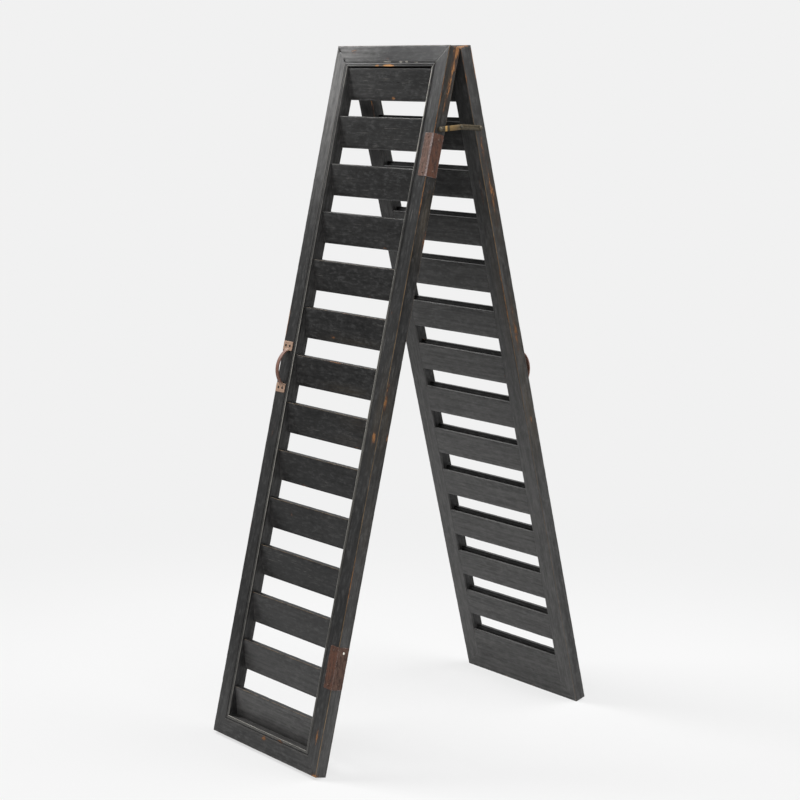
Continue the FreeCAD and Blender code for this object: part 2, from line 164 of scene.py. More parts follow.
def member_section(floor):
    """The section as rows of (across, depth) and five marks. The arris, the groove's corner and
    the bead lose their paint, the groove and the bead with its quirk and lip are painted near black,
    for dirt and as painted shade, and exposed says how far hands and knocks reach."""
    back = panel_thickness
    bead_centre = groove_end + bead_radius
    bead_start = 180 + math.degrees(math.asin(min(1, max(0, 1 - (floor - 0.1) / bead_radius))))
    groove_corner = groove_start - small_round
    face = straight((edge_round, 0), (groove_corner, 0), 9)
    spans = [
        (arc(edge_round, back - edge_round, edge_round, 90, 180, 5), {"exposed": 0.9}),
        ([(0, back - edge_round - near_arris)], {}),
        (straight((0, back - edge_round), (0, edge_round), 5), {}),
        ([(0, edge_round + near_arris)], {}),
        (arc(edge_round, edge_round, edge_round, 180, 270, 5), {"exposed": 1}),
        ([(edge_round + near_arris, 0)], {}),
        (face[:-1], {}),
        (face[-1:], {"groove": 0.5}),
        ([(groove_corner - near_arris, 0)], {"groove": 1, "corner": 0.7}),
        (arc(groove_corner, small_round, small_round, 270, 360, 4),
         {"groove": 1, "corner": 1, "exposed": 0.2}),
        ([(groove_start, floor - small_round), (groove_start + small_round, floor),
          (groove_end - small_round, floor)], {"groove": 1}),
        (arc(bead_centre, bead_radius, bead_radius, bead_start, bead_stop, 9),
         {"bead": 1, "hollow": 1, "exposed": 0.2}),
        ([(quirk_end - 0.2, quirk_floor)], {"hollow": 1}),
        ([(quirk_end, lip_drop + small_round / 2), (quirk_end + small_round / 2, lip_drop)],
         {"arris": 0.4, "bead": 0.5, "hollow": 0.7}),
        (arc(member_width - lip_round, lip_drop + lip_round, lip_round, 270, 360, 5),
         {"arris": 1, "hollow": 0.6, "exposed": 0.4}),
        ([(member_width, lip_drop + lip_round + near_arris)], {}),
        (straight((member_width, lip_drop + lip_round), (member_width, back - back_round), 4), {}),
        (arc(member_width - back_round, back - back_round, back_round, 0, 90, 4), {"exposed": 0.5}),
        ([(member_width - back_round - near_arris, back)], {}),
        (straight((member_width - back_round, back), (edge_round, back), 6), {}),
        ([(edge_round + near_arris, back)], {}),
    ]
    points = np.array([point for places, _ in spans for point in places])
    return points[:, 0], points[:, 1], {
        key: np.array([marks.get(key, 0.0) for places, marks in spans for _ in places])
        for key in ("arris", "corner", "bead", "groove", "hollow", "exposed")}


def placed(name, points=(), faces=()):
    """A new piece of the scene."""
    piece = bpy.data.objects.new(name, bpy.data.meshes.new(name))
    piece.data.from_pydata(points, [], faces)
    bpy.context.scene.collection.objects.link(piece)
    return piece


def loft(name, rings):
    """A closed skin over equal rings of points in metres, with a face at each end."""
    rings = np.array(rings)
    count, around = rings.shape[:2]
    faces = [(ring * around + i, ring * around + (i + 1) % around,
              (ring + 1) * around + (i + 1) % around, (ring + 1) * around + i)
             for ring in range(count - 1) for i in range(around)]
    faces.append(tuple(reversed(range(around))))
    faces.append(tuple(range((count - 1) * around, count * around)))
    piece = placed(name, rings.reshape(-1, 3).tolist(), faces)
    shell = bmesh.new()
    shell.from_mesh(piece.data)
    bmesh.ops.recalc_face_normals(shell, faces=shell.faces)
    shell.to_mesh(piece.data)
    shell.free()
    return piece


def mark(piece, name, values):
    """Writes one number for each point of a piece, for its material or its wear to read."""
    layer = piece.data.attributes.get(name) or piece.data.attributes.new(name, "FLOAT", "POINT")
    layer.data.foreach_set("value", np.asarray(values, np.float32))


def member(name, side, length, lie, wear, tan):
    """One mitred member. lie(across, depth, along) gives its places on the panel, wear is how
    its moulding has fared and tan is how tan its outer arrises are."""
    across, depth, rows = member_section(wear["floor"])
    steps = np.linspace(0, 1, int(length / station_step) + 1)
    stations = np.concatenate(([0, mitre_ease / length], steps[1:-1], [1 - mitre_ease / length, 1]))
    # An opened mitre gapes most at 9 and at 38 mm from the outer arris.
    split = np.exp(-((across - 9) / 5) ** 2) + 0.8 * np.exp(-((across - 38) / 3) ** 2)
    split *= wear.get("opened", 0) if side == "front" else 0
    rings = []
    for station in stations:
        shrink = mitre_shrink if station in (0, 1) else 0
        wide = across + (member_width / 2 - across) * shrink
        deep = depth + (panel_thickness / 2 - depth) * shrink
        start = across + mitre_gap
        end = length - across - mitre_gap - split
        rings.append(stood(np.column_stack(lie(wide, deep, start + station * (end - start))), side))
    piece = loft(name, rings)
    nothing = ((0,), (0,))
    marks = {key: np.outer(np.interp(stations * length, *wear.get(key, nothing)), rows[key])
             for key in ("arris", "corner", "bead", "groove", "hollow")}
    pale = marks["arris"] + marks["corner"] + marks["bead"]
    if "pale_end" in wear:
        # A mark below nothing a station away ends the mitre's pale line within 2 mm.
        pale[-3] = np.where(pale[-3] > 0, pale[-3], -1.5 * wear["pale_end"])
        pale[-2:] = np.maximum(pale[-2:], wear["pale_end"])
    mark(piece, "lip", pale.ravel())
    outer = (depth < edge_round, depth > panel_thickness - edge_round)
    mark(piece, "tan", sum(np.outer(np.interp(stations * length, *curve), (across < edge_round) & place)
                           for curve, place in zip(tan, outer)).ravel())
    mark(piece, "exposed", np.tile(rows["exposed"], len(stations)))
    # Near black for dirt and for painted shade in the groove and round the bead.
    mark(piece, "hollow", (marks["groove"] + marks["hollow"]).ravel())
    return piece


def linear(code):
    """An sRGB hex colour as the linear colour that a shader takes."""
    levels = [int(code[i:i + 2], 16) / 255 for i in (1, 3, 5)]
    return [v / 12.92 if v <= 0.04045 else ((v + 0.055) / 1.055) ** 2.4 for v in levels] + [1.0]


sums = {"+": "ADD", "-": "SUBTRACT", "*": "MULTIPLY", "*+": "MULTIPLY_ADD", "/": "DIVIDE",
        "**": "POWER", "max": "MAXIMUM", "abs": "ABSOLUTE"}


def node(tree, kind, *values, out=0, **named):
    """Adds a node and gives back one output. Its inputs come in order, or by name with _ for a
    space, and each is a link, a value, a hex colour or, in a material, the name of a mark on
    the piece. Names in small letters are its settings. The kind can also be one of the sums."""
    if kind in sums:
        kind, named["operation"] = "Math", sums[kind]
    families = ("GeometryNode", "FunctionNode", "ShaderNode", "")
    made = tree.nodes.new(next(f + kind for f in families if hasattr(bpy.types, f + kind)))
    inputs = list(enumerate(values))
    for name, value in named.items():
        if name[0].isupper():
            inputs.append((name.replace("_", " "), value))
        else:
            setattr(made, name, value)
    for key, value in inputs:
        if isinstance(value, str) and value.startswith("#"):
            value = linear(value)
        elif isinstance(value, str) and tree.type == "SHADER":
            value = node(tree, "Attribute", attribute_name=value, out="Fac")
        if isinstance(value, bpy.types.NodeSocket):
            tree.links.new(value, made.inputs[key])
        elif value is not None:
            made.inputs[key].default_value = value
    return made.outputs[out] if made.outputs else None


def geometry_tree(name, **inputs):
    """An empty geometry tree, what adds nodes to it and its inputs. Each input is given by its
    default or, where it has none, by its kind."""
    tree = bpy.data.node_groups.new(name, "GeometryNodeTree")
    tree.interface.new_socket("Geometry", in_out="OUTPUT", socket_type="NodeSocketGeometry")
    for label, value in {"Geometry": "Geometry", **inputs}.items():
        kind = value if isinstance(value, str) else type(value).__name__.title()
        socket = tree.interface.new_socket(label.replace("_", " "), in_out="INPUT",
                                           socket_type="NodeSocket" + kind)
        if kind != value:
            socket.default_value = value
    return tree, partial(node, tree), tree.nodes.new("NodeGroupInput").outputs


def hand_wear_tree():
    """Knocks the arrises back by noise, waves the faces a little as a hand plane leaves them,
    and keeps how far each point is rubbed for the paint to read."""
    tree, add, given = geometry_tree(
        "Hand wear", Arris_Angle=0.2, Knock_Depth=0.6 * mm, Knock_Length=24 * mm,
        Chip_Size=7 * mm, Face_Wave=0.3 * mm, Wave_Length=80 * mm)
    arris = add("MapRange", add("InputMeshEdgeAngle", out="Signed Angle"), 0.0, given["Arris Angle"])
    exposed = add("InputNamedAttribute", "exposed", data_type="FLOAT", out="Exists")
    reach = add("Switch", exposed, 1.0, exposed.node.outputs["Attribute"], input_type="FLOAT")
    rubbed = add("*", arris, reach)
    knocks, chips, waves = (
        add("TexNoise", add("InputPosition"), Scale=add("/", 1.0, given[length]), Detail=2.0,
            Roughness=0.5) for length in ("Knock Length", "Chip Size", "Wave Length"))
    hit = add("+", add("MapRange", knocks, 0.42, 0.72, 0.0, 0.6),
              add("MapRange", chips, 0.6, 0.74, 0.0, 0.9))
    depth = add("*", add("*", hit, rubbed), given["Knock Depth"])
    swell = add("*", add("-", waves, 0.5), given["Face Wave"])
    offset = add("VectorMath", add("InputNormal"), Scale=add("-", swell, depth), operation="SCALE")
    seen = add("*", rubbed, add("MapRange", hit, 0.0, 1.0, 0.55, 1.25))
    stored = add("StoreNamedAttribute", given["Geometry"], Name="rubbed", Value=seen,
                 data_type="FLOAT", domain="POINT")
    add("NodeGroupOutput", add("SetPosition", stored, Offset=offset))
    return tree


hand_wear = hand_wear_tree()


def grow(piece, tree, **values):
    """Puts a geometry tree on a piece and sets its named inputs."""
    modifier = piece.modifiers.new(tree.name, "NODES")
    modifier.node_group = tree
    sockets = {item.name: item.identifier for item in tree.interface.items_tree
               if item.in_out == "INPUT"}
    for name, value in values.items():
        modifier[sockets[name.replace("_", " ")]] = value
    return piece


def changed(piece, kind, **settings):
    """Puts a modifier on a piece."""
    modifier = piece.modifiers.new(kind, kind)
    for name, value in settings.items():
        setattr(modifier, name, value)
    return piece


def settled(piece, crease=40):
    """The piece as a plain mesh with its modifiers worked in, smooth up to a crease angle."""
    graph = bpy.context.evaluated_depsgraph_get()
    mesh = bpy.data.meshes.new_from_object(
        piece.evaluated_get(graph), preserve_all_data_layers=True, depsgraph=graph)
    piece.modifiers.clear()
    piece.data = mesh
    mesh.shade_smooth()
    mesh.set_sharp_from_angle(angle=math.radians(crease))
    return piece


def dressed(piece, material, slot, body, *node_names):
    """Finishes a piece: its material, the body it moves with and the solids it stands for."""
    piece.data.materials.clear()
    piece.data.materials.append(material)
    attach(piece, body)
    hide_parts(*node_names)


def shader_tree(kind, name):
    """A new material or world with an empty tree, and what adds nodes to the tree."""
    made = getattr(bpy.data, kind).new(name)
    made.use_nodes = True
    made.node_tree.nodes.clear()
    return made, partial(node, made.node_tree)


def coats(add, colour, *layers):
    """Colours laid over one another, each given by how much of it shows and its colour."""
    for share, coat in layers:
        # A mix node's two colours come after five inputs for other kinds of value.
        colour = add("Mix", share, *[None] * 5, colour, coat, data_type="RGBA", out=2)
    return colour


def surface(add, colour, roughness, relief, strength, depth, **others):
    """Ends a material with its colour, its roughness and a relief of some depth."""
    bump = add("Bump", Height=relief, Strength=strength, Distance=depth)
    shader = add("BsdfPrincipled", Base_Color=colour, Roughness=roughness, Normal=bump, **others)
    add("OutputMaterial", shader)


def worn_black_paint(name, turn, upright):
    """Thin black milk paint on softwood, brushed along the grain and rubbed by hand: satin,
    streaked, grey where dust has settled in it and where light is painted in, near black where soot
    lies and where shade is painted in, with brown wood at the knocked arrises.
    turn is the panel's lean and upright says which way the grain runs."""
    material, add = shader_tree("materials", name)
    ramp = partial(add, "MapRange", interpolation_type="SMOOTHSTEP")
    panel = add("Mapping", add("TexCoord", out="Object"), Rotation=(turn, 0, 0))
    cloud = add("TexNoise", panel, Scale=1 / (110 * mm), Detail=3.0)

    def grain(across, along, detail=2.0, roughness=0.5):
        """Noise stretched along the grain, given the size of its cells in mm."""
        size = (across, across, along) if upright else (along, across, across)
        cells = add("Mapping", panel, Scale=[1 / (s * mm) for s in size])
        return add("TexNoise", cells, Scale=1.0, Detail=detail, Roughness=roughness)

    # Streaks of the wood's growth, brush marks, blots of wax, pores, flakes and chips of paint.
    streaks = grain(6, 220)
    brush = grain(1.6, 90, 3.0, 0.6)
    mottle = grain(8, 22, 5.0, 0.72)
    pores = grain(0.7, 16)
    flakes = grain(4, 30, 6.0, 0.68)
    chips = grain(1.3, 7, 3.0, 0.6)
    scratches = grain(1.1, 55)

    uneven = add("+", ramp(streaks, 0.3, 0.7, 0.6, 1.15), ramp(mottle, 0.35, 0.65, 0.0, 0.35))
    scuff = add("*", ramp(scratches, 0.6, 0.7), ramp(cloud, 0.5, 0.62))
    scuff = add("*", scuff, ramp(mottle, 0.4, 0.55))
    thin = add("*", "thin", ramp(brush, 0.38, 0.62, 0.2, 1.0))
    # Near black for soot and for painted shade.
    darkening = add("+", add("*", "hollow", 0.75), "sooty")
    pale = ramp(add("+", "scuffed", add("*", scratches, 0.6)), 0.68, 0.9)
    paint = coats(
        add, "#181818",
        (ramp(streaks, 0.3, 0.7), "#232323"),
        (ramp(mottle, 0.5, 0.66, 0.0, 0.9), "#404040"),
        (ramp(mottle, 0.49, 0.35, 0.0, 0.9), "#080808"),
        (ramp(brush, 0.4, 0.7, 0.0, 0.4), "#2d2c2b"),
        (ramp(cloud, 0.35, 0.7, 0.0, 0.35), "#2f2f2f"),
        # Grey for dust and for painted light.
        (add("*", "dust", uneven), "#747372"),
        (add("*", scuff, 0.4), "#8a8783"),
        (add("*", thin, ramp(pores, 0.3, 0.7, 0.5, 1.0)), "#63553f"),
        # Soot and painted shade.
        (darkening, "#0f0f0f"),
        (add("*", pale, ramp(chips, 0.4, 0.56, 0.25, 0.8)), "#a9a398"),
        (add("*", add("max", "tan", 0.0), ramp(flakes, 0.36, 0.6, 0.35, 1.2)), "#a98a62"),
        (add("*", add("max", "lip", 0.0), ramp(flakes, 0.3, 0.55, 0.3, 0.85)), "#cdc9c0"))

    bare = add("*", add("**", "rubbed", 1.8), 0.5)
    bare = add("*+", "bare", 1.05, bare)
    for pattern, strength in ((flakes, 2.0), (chips, 1.3), (cloud, 0.7)):
        bare = add("*+", add("-", pattern, 0.5), strength, bare)
    wood_share = ramp(bare, 0.74, 0.94)
    wood = coats(add, "#6f4829", (ramp(pores, 0.35, 0.68), "#b27f4f"),
                 (ramp(brush, 0.45, 0.7, 0.0, 0.8), "#54341f"),
                 (add("*", "fresh", 0.8), "#c4935f"))
    colour = coats(add, paint, (ramp(bare, 0.42, 0.74, 0.0, 0.6), "#483228"), (wood_share, wood))

    gloss = add("+", ramp(streaks, 0.3, 0.7, 0.32, 0.38), ramp(mottle, 0.3, 0.7, -0.05, 0.06))
    rough = add("+", add("*+", wood_share, 0.2, gloss), "matt")
    relief = add("*", pores, 0.5)
    for pattern, strength in ((brush, 0.9), (mottle, 0.7), (wood_share, -0.6)):
        relief = add("*+", pattern, strength, relief)
    # Where shade is painted in, the paint reflects less as well.
    surface(add, colour, rough, relief, 0.5, 0.25 * mm, IOR=1.48,
            Specular_IOR_Level=ramp(darkening, 0.0, 1.0, 0.22, 0.07))
    return material


paint_upright, paint_level = (
    {side: worn_black_paint("Worn black paint, %s grain, %s" % (grain, side), way * lean,
                            grain == "upright") for side, way in half_turn.items()}
    for grain in ("upright", "level"))

# Places where the paint has gone: (across, depth, rise), the half sizes of each in mm, and
# how much of it has gone there.
bare_places = {
    "front": ((-2, 2, 1761, 22, 4, 4, 2), (-47, 2, 1761, 7, 4, 4, 1.7), (-8, 0, 1779, 15, 2, 7, 0.7),
        (-146, 0, 1797, 26, 2, 9, 0.58), (220, 0, 1700, 2, 2, 70, 0.9), (220, 0, 1620, 2, 2, 60, 0.8),
        (220, 25, 1802, 3, 10, 30, 1.1), (220, 23, 1762, 3, 8, 36, 1.05),
        (220, 21, 1715, 3, 6, 40, 1.05), (220, 17, 1668, 3, 4, 24, 0.9),
        (220, 0, 1440, 2, 2, 50, 0.9), (220, 20, 1455, 3, 5, 10, 0.8), (220, 0, 480, 2, 2, 90, 0.8),
        (220, 31, 1330, 3, 4, 34, 0.9), (-219, 0, 548, 3, 3, 10, 0.9), (220, 4, 939, 3, 5, 50, 1),
        (205, 0, 843, 11, 2, 20, 0.96), (220, 30, 847, 3, 5, 16, 1), (198, 0, 95, 7, 2, 26, 0.95),
        (-4, 0, 37, 12, 2, 8, 1), (59, 0, 46, 15, 3, 5, 1.15), (214, 2, 2, 10, 8, 6, 1.3),
        (-219, 1, 1085, 3, 5, 60, 1.1), (-200, 0, 796, 4, 2, 28, 0.6), (187, 0, 1149, 3, 2, 10, 0.7),
        (-219, 0, 470, 3, 3, 8, 0.9), (10, 27, 1684, 8, 8, 7, 0.95), (-53, 24, 1068, 12, 8, 5, 0.66),
        (7, 5, 1130, 28, 6, 2, 0.7), (-5, 5, 1005, 40, 6, 3, 0.85), (-30, 12, 1733, 30, 12, 3, 0.5),
        (120, 26, 806, 14, 8, 3, 0.6), (-60, 26, 680, 18, 8, 3, 0.6), (85, 27, 1306, 8, 8, 4, 0.62),
        (-74, 14, 602, 7, 8, 8, 0.66), (158, 26, 932, 5, 8, 7, 0.65), (150, 26, 430, 12, 8, 3, 0.6),
        (215, 17, 1811, 14, 12, 3, 0.9)),
    "rear": ((-220, 33, 1747, 2, 2, 80, 0.65), (-220, 1, 1764, 3, 3, 60, 1),
        (-220, 20, 1560, 3, 5, 70, 0.8), (-220, 15, 1440, 3, 8, 110, 0.78),
        (-220, 17, 1090, 3, 7, 110, 0.78), (-220, 17, 830, 3, 5, 24, 0.85),
        (-205, 17, 1812, 50, 40, 3, 0.9), (-220, 8, 1430, 3, 3, 90, 0.7),
        (-218, 34, 1180, 3, 2, 160, 0.8), (-205, 34, 1440, 4, 2, 70, 0.6),
        (167, 34, 1670, 2, 2, 60, 0.72), (-50, 34, 2, 8, 4, 2, 0.8), (60, 34, 1, 5, 4, 2, 0.8),
        (220, 30, 1400, 3, 6, 160, 0.8))}


# Places with pale scuffs, given as the bare ones are, those where the wood is still fresh,
# those where the paint is thin enough for brown to show, and those painted black, for soot and
# as painted shade.
pale_places = {
    "front": ((-8, 0, 1770, 18, 2, 2.6, 1.05), (45, 0, 1769.5, 7, 2, 2.6, 1.15),
        (68, 0, 1769.5, 6, 2, 2.6, 1.15), (105, 0, 1769, 12, 2, 2, 0.8),
        (-18, 12, 1727, 46, 14, 8, 0.43), (30, 18, 1700, 60, 14, 8, 0.38),
        (168, 1, 1640, 2, 3, 14, 1), (168, 1, 1560, 2, 3, 20, 1), (60, 15, 1604, 60, 12, 8, 0.42),
        (-60, 15, 1590, 50, 12, 8, 0.42), (-40, 26, 1436, 90, 12, 9, 0.4),
        (60, 26, 935, 90, 12, 9, 0.42)),
    "rear": ((-50, 34, 2, 7, 5, 2, 1), (60, 34, 2, 6, 5, 2, 1))}
fresh_places = {"front": [(-10, 2, 1760, 40, 4, 5, 1.3)], "rear": [(-205, 17, 1812, 50, 40, 3, 0.4)]}
thin_places = {
    "front": ((220, 20, 1380, 4, 14, 90, 0.36), (220, 14, 1720, 4, 14, 90, 0.35),
        (205, 0, 900, 12, 3, 110, 0.3), (220, 17, 880, 4, 14, 100, 0.3),
        (220, 17, 600, 4, 14, 120, 0.15), (40, 26, 940, 80, 9, 14, 0.3),
        (40, 26, 1062, 110, 9, 12, 0.22), (100, 26, 815, 70, 9, 16, 0.2),
        (110, 12, 870, 50, 9, 24, 0.15)),
    "rear": ((-220, 17, 1440, 4, 14, 130, 0.36), (-220, 17, 1080, 4, 14, 120, 0.36),
        (-220, 17, 860, 4, 14, 120, 0.45), (-205, 34, 1180, 14, 3, 160, 0.25))}
black_marks_and_shade_places = {
    # Painted shade: the first front place darkens the top rail, most right of the middle, where its
    # sheen is too bright.
    "front": ((70, 0, 1790, 190, 4, 30, 0.36), (-209, 0, 1800, 4, 3, 8, 0.95),
        (-184, 0, 1776, 4, 3, 5, 0.95), (-200, 0, 1350, 30, 4, 80, 0.16),
        (200, 0, 1350, 30, 4, 80, 0.16)),
    # Painted shade: the first two rear places darken the inside of the rear panel's stile near the
    # hinge, where shade falls between the panels.
    "rear": ((192, 30, 1650, 45, 14, 34, 0.9), (192, 30, 1530, 45, 14, 45, 0.45),
        (-220, 17, 1440, 4, 20, 130, 0.18))}


def spots(places, listed):
    """How strongly each point lies in any of the listed places."""
    shares = np.zeros(len(places))
    for spot in listed:
        offset = (places - np.array(spot[:3])) / np.array(spot[3:6])
        shares = np.maximum(shares, spot[6] * np.exp(-(offset ** 2).sum(axis=1)))
    return shares


def dusted(places, side):
    """How much the paint is greyed. Near the floor this is dust and wax bloom, greyed further as a
    painted reflection of the floor, and dust lies on the sill. Painted light greys the rest: a
    painted highlight at the top outer corner of the front, light in the slats' left corners, on the
    stiles' window sides, on the upper slats and at the top of the right stile, and over the rear
    panel's inner faces and sides."""
    across, depth, rise = places.T
    by_rise = partial(np.interp, rise)
    behind_face, back_face, near, pitch = 3, 27, 1.2, 125
    onto_stile = np.abs(across) - half_width + member_width
    blade = (onto_stile < 0) & (depth > behind_face)
    window = (np.abs(onto_stile) < near) & (depth > behind_face)
    sill = (np.abs(rise - member_width) < near) & (depth > behind_face)
    if side == "rear":
        # Painted light: the rear panel's inner faces, stiles and sides are greyed, most low down where
        # the floor lights them, with dust near the floor as well.
        boards = by_rise((750, 1000, 1550), (0.32, 0.28, 0.06))
        stiles = by_rise((500, 700, 1100, 1350, 1550), (0.36, 0.36, 0.22, 0.18, 0.15))
        inner = np.where(onto_stile < 0, boards, stiles)
        side_face = by_rise((250, 500, 950, 1150), (0.17, 0.26, 0.26, 0.12))
        edge = side_face * (across < 1 - half_width) + by_rise((50, 500), (0.1, 0.0))
        return np.where(depth > back_face, inner, edge)
    # Near the floor the front is greyed by dust, and further as a painted reflection of the bright
    # floor on its lower side faces, slats and faces.
    side_face = by_rise((100, 400, 700, 1000, 1250), (0.38, 0.24, 0.13, 0.07, 0.0))
    slats = by_rise((100, 240, 340, 450), (0.38, 0.2, 0.13, 0.0))
    faces = by_rise((60, 300), (0.16, 0.0))
    climb = (rise - member_width) % pitch
    slats = slats + 0.045 * (climb < 30) * np.clip((across + 60) / 160, 0, 1) * (rise > 450)
    # Painted light: the left halves of the two upper slats are greyed where the key light falls.
    slats = slats + by_rise((1540, 1680), (0, 0.07)) * np.clip((60 - across) / 160, 0, 1)
    # Painted light: the slats' left ends are greyed to lift the shade in the corners by the stile.
    slats = slats + (by_rise((130, 300), (0.15, 0.38)) * (1 - 0.009 * climb)
                     * np.exp(-np.maximum(across + 163, 0) / 14))
    # Painted sheen: the top of the right stile's face is greyed.
    faces = faces + by_rise((1480, 1620, 1750), (0, 0.07, 0.05)) * (across > 165)
    lower = np.where(across > half_width - 1, side_face, np.where(blade, slats, faces))
    # Painted highlight: the top of the front, left of the middle, is greyed most near the top.
    corner = by_rise((1230, 1450, 1600, 1680, 1780), (0, 0.26, 0.48, 0.68, 0.6))
    dust = lower + corner * np.clip((0 - across) / 200, 0, 1) * ~blade
    # Painted light on the stiles' window sides, which face the slats.
    dust = np.where(window, by_rise((100, 300, 400), (0.1, 0.15, 0.24)), dust)
    return np.where(sill, 0.35, dust)


def painted(piece, side, material, *node_names):
    """Finishes a wooden piece: where its paint has gone, its soot and painted shade, its dust and
    painted light, and the top of the panel, which dust keeps matt."""
    places = np.column_stack(places_of(piece, side))
    for name, listed in (("bare", bare_places), ("scuffed", pale_places), ("thin", thin_places),
                         ("sooty", black_marks_and_shade_places)):
        mark(piece, name, spots(places, listed[side]))
    mark(piece, "fresh", np.minimum(1, spots(places, fresh_places[side])))
    mark(piece, "matt", 0.3 * (places[:, 2] > panel_height - 0.8))
    # Grey for dust and for painted light.
    mark(piece, "dust", dusted(places, side))
    dressed(piece, material, "painted_wood", side + "_panel", *node_names)


for side in half_turn:
    left, right = ("left", "right") if side == "front" else ("right", "left")
    member_plans = (
        ("_stile_" + left, "left", panel_height, lambda w, d, s: (w - half_width, d, s)),
        ("_stile_" + right, "right", panel_height, lambda w, d, s: (half_width - w, d, s)),
        ("_rail_bottom", "bottom", panel_width, lambda w, d, s: (s - half_width, d, w)),
        ("_rail_top", "top", panel_width, lambda w, d, s: (s - half_width, d, panel_height - w)))
    for part, wear, length, lie in member_plans:
        tan = tan_arrises.get(side + part, (plain_arris, plain_arris))
        piece = member(side + part + "_worn", side, length, lie, mouldings[wear], tan)
        painted(settled(grow(piece, hand_wear)), side,
                (paint_upright if "stile" in part else paint_level)[side], side + part)


# Slats and the boards behind them
# Fourteen sawn slats slope in each panel like louvre blades, and serve as the rungs. Their
# ends are housed in the stiles. A thin flat board is glued behind each foot, between the
# stiles and flush with their inner faces. Both are softwood in the same paint.

slat_count = 14
slat_thickness = 13.0
slat_recess = 5.0
slat_rise = 77.0
slat_housing = 6.0
slat_round = 1.3
top_slat_gap = 0.3
board_thickness = 6.0
board_height = 73.5
board_round = 0.7
board_clearance = 0.15
opening_width = panel_width - 2 * member_width
foot_depth = panel_thickness - board_thickness
slat_slope = math.atan2(foot_depth - slat_recess, slat_rise)
rung_height = slat_rise + slat_thickness * math.sin(slat_slope)
slat_pitch = (panel_height - 2 * member_width - top_slat_gap - rung_height) / (slat_count - 1)


def plank_row_tree():
    """One plank of a four-cornered section with eased arrises, swept across the panel, repeated
    up it and stood where the panel stands."""
    vectors = ("Corner_1", "Corner_2", "Corner_3", "Corner_4", "Left_End", "Right_End",
               "First_Foot", "Step", "Panel_Foot", "Panel_Turn")
    tree, add, given = geometry_tree("Row of planks", **dict.fromkeys(vectors, "Vector"),
                                     Arris_Radius="Float", Stations="Int", Cuts="Int")
    corners = {"Point_%d" % i: given["Corner %d" % i] for i in (1, 2, 3, 4)}
    section = add("CurvePrimitiveQuadrilateral", **corners, mode="POINTS")
    eased = add("FilletCurve", add("SubdivideCurve", section, given["Cuts"]), Count=4,
                Radius=given["Arris Radius"], Limit_Radius=True, mode="POLY")
    # The sweep sets a section down upside down and back to front, so it is turned first.
    turned = add("Transform", eased, Rotation=(0, 0, math.pi))
    path = add("CurvePrimitiveLine", given["Left End"], given["Right End"])
    level = add("SetCurveNormal", add("ResampleCurve", path, Count=given["Stations"]), mode="Z_UP")
    plank = add("CurveToMesh", level, Profile_Curve=turned, Fill_Caps=True)
    # Easing a section leaves doubled points along its straight sides.
    merged = add("MergeByDistance", plank, Distance=0.02 * mm)
    feet = add("MeshLine", slat_count, Start_Location=given["First Foot"], Offset=given["Step"])
    row = add("RealizeInstances", add("InstanceOnPoints", feet, Instance=merged))
    hung = add("Transform", row, Translation=given["Panel Foot"], Rotation=given["Panel Turn"])
    add("NodeGroupOutput", hung)
    return tree


plank_row = plank_row_tree()


def planks(name, side, corners, arris_radius, half_length, cuts):
    """One panel's row of like planks. corners are the (depth, rise) of its section."""
    corners = {"Corner_%d" % (i + 1): [depth * mm, rise * mm, 0.0]
               for i, (depth, rise) in enumerate(corners)}
    piece = grow(
        placed(name), plank_row, **corners, Arris_Radius=arris_radius * mm,
        Left_End=[-half_length * mm, 0.0, 0.0], Right_End=[half_length * mm, 0.0, 0.0],
        Stations=int(2 * half_length / station_step) + 1, Cuts=cuts,
        First_Foot=[0.0, 0.0, member_width * mm], Step=[0.0, 0.0, slat_pitch * mm],
        Panel_Foot=stood((0, 0, 0), side)[0].tolist(),
        Panel_Turn=[-lean, 0.0, math.pi if side == "rear" else 0.0])
    return settled(grow(piece, hand_wear, Arris_Angle=0.16, Knock_Depth=0.7 * mm))


for side in half_turn:
    slats = planks(
        side + "_slats", side,
        [(foot_depth, 0),
         (foot_depth, slat_thickness / math.sin(slat_slope)),
         (slat_recess + slat_thickness * math.cos(slat_slope), rung_height),
         (slat_recess, slat_rise)], slat_round, opening_width / 2 + slat_housing / 2, 11)
    across, depth, rise = places_of(slats, side)
    height = (rise - member_width) % slat_pitch
    on_arris = np.hypot(depth - slat_recess, height - slat_rise) < 1
    # As at the mitres, the line along the top arris ends within 2 mm. It is pale on the
    # upper slats of the front, and brown from the fifth down.
    number = slat_count - (rise - member_width) // slat_pitch
    pale = np.interp(number, (1, 2, 5, 6), (-1.6, 0.3, 0.15, -1.6)) if side == "front" else -1.6
    tan = np.interp(number, (4, 5, 9, 14), (-1.6, 0.25, 0.4, 0.45)) if side == "front" else 0.1
    mark(slats, "lip", np.where(on_arris, pale, -1.6))
    mark(slats, "tan", np.where(on_arris, tan, -1.6))
    # The upper edge of each slat lies out of the light, and is painted dark there as painted shade.
    mark(slats, "hollow", 0.8 * ((height > slat_rise) & (depth > slat_recess + 1.5)))
    painted(slats, side, paint_level[side],
            *(side + "_slat_%02d" % index for index in range(1, slat_count + 1)))
    boards = planks(
        side + "_back_boards", side,
        [(foot_depth, 0), (panel_thickness, 0), (panel_thickness, board_height),
         (foot_depth, board_height)], board_round, opening_width / 2 - board_clearance, 6)
    painted(boards, side, paint_level[side], side + "_boards")


# Angle plates
# Two strips of rusty sheet iron are bent round the outer corner of one stile of each
# panel, as a strap that once mended or guarded it. They are cut by hand, so their edges
# wander, and they have been hammered down until they dish a little between the nails.

plate_length = 106.0
plate_thickness = 1.6
plate_face_leaf = 30.0
plate_side_leaf = 32.0
plate_bottoms = (1490.0, 218.0)
plate_corner = 2.5
plate_step = 2.0


